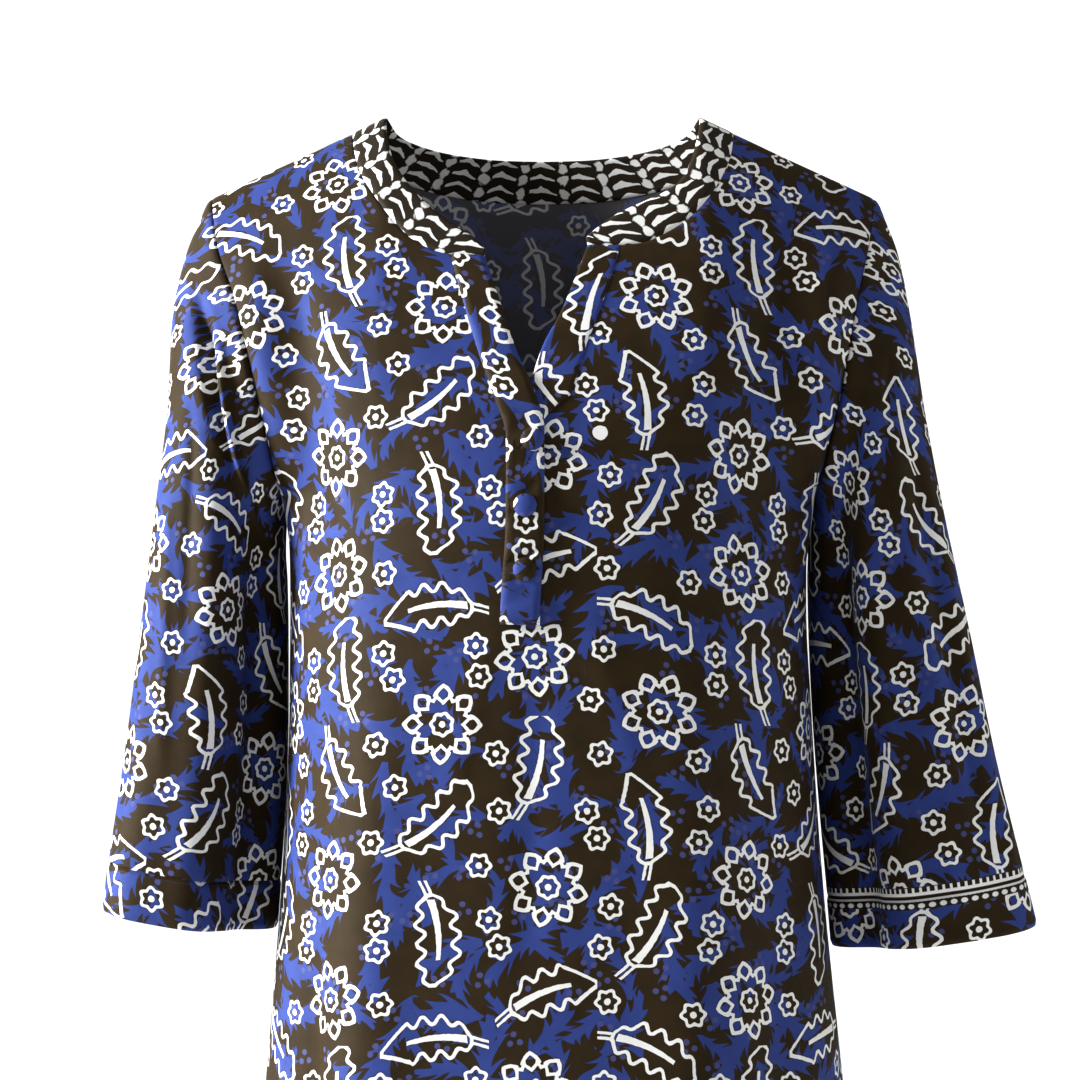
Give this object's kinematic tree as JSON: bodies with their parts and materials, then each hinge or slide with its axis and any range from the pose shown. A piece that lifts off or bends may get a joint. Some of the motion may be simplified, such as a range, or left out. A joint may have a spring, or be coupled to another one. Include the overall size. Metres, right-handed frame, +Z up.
{
  "type": "v-neck dress",
  "caption": "Straight A-line dress with a banded V neck, a buttoned placket and banded three-quarter sleeves, open at neck, cuffs and hem.",
  "frame": {"origin": "on the mid-plane, level with the points where the shoulder seams meet the neck edge, above the shoulders that carry the dress", "axes": "+Z up, -Y out of the front of the dress, +X to the wearer's left, with the shoulder seams in the plane Y = 0"},
  "size_m": [0.5805, 0.299, 0.9605],
  "materials": {
    "printed_cotton": "plain-woven cotton with a slight sheen, printed in dark brown, blue and white",
    "band_cotton": "plain-woven cotton, brown-black with a white border print",
    "button_cotton": "the printed cotton stretched over domed buttons"
  },
  "bodies": {
    "root": {"front": "printed_cotton", "back": "printed_cotton", "neck_band_back": "band_cotton", "neck_band_front_left": "band_cotton", "neck_band_front_right": "band_cotton", "placket_overlap": "printed_cotton", "placket_underlap": "printed_cotton", "sleeve_left": "printed_cotton", "sleeve_right": "printed_cotton", "sleeve_band_left": "printed_cotton", "sleeve_band_right": "printed_cotton", "button_top": "button_cotton", "button_middle": "button_cotton", "button_low": "button_cotton"}
  },
  "joints": []
}
